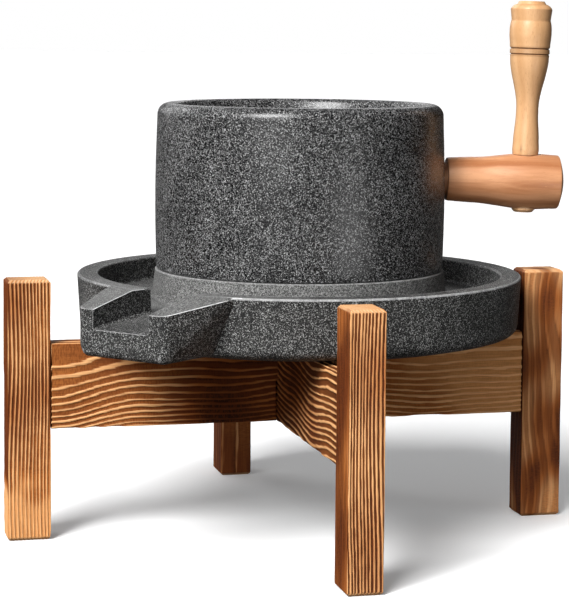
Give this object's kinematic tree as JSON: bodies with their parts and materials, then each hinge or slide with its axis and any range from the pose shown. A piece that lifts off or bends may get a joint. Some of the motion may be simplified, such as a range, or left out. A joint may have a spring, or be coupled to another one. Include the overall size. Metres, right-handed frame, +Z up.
{
  "type": "rotary quern",
  "caption": "Household rotary quern: dark stone runner with a dished top and beech crank handle on a troughed, spouted bed stone, on a cross-shaped softwood stand.",
  "frame": {"origin": "on the ground, at the centre of the stand under the crossing of its rails", "axes": "+Z up; +X and +Y along the stand's two rails; at rest the handle points about along +X"},
  "size_m": [0.495, 0.495, 0.4599],
  "materials": {
    "polished_stone": "polished dark grey stone with dense fine white speckle",
    "honed_stone": "honed dark grey stone with fine pale speckle, lighter at worked edges",
    "charred_pine": "softwood scorched and wire-brushed so that its growth rings stand up, oiled",
    "beech": "turned pale beech with a thin satin varnish",
    "spindle_steel": "plain turned steel"
  },
  "bodies": {
    "stand_and_bed": {"rail_long": "charred_pine", "rail_cross": "charred_pine", "leg_right": "charred_pine", "leg_back": "charred_pine", "leg_left": "charred_pine", "leg_front": "charred_pine", "bed_stone": "honed_stone", "spindle_pin": "spindle_steel"},
    "runner": {"runner_stone": "polished_stone", "handle_arm": "beech", "handle_grip": "beech"}
  },
  "joints": [
    {"name": "runner_turn", "type": "hinge", "parent": "stand_and_bed", "child": "runner", "pos_m": [0.012, 0.015, 0.2255], "axis": [0, 0, 1], "continuous": true}
  ]
}
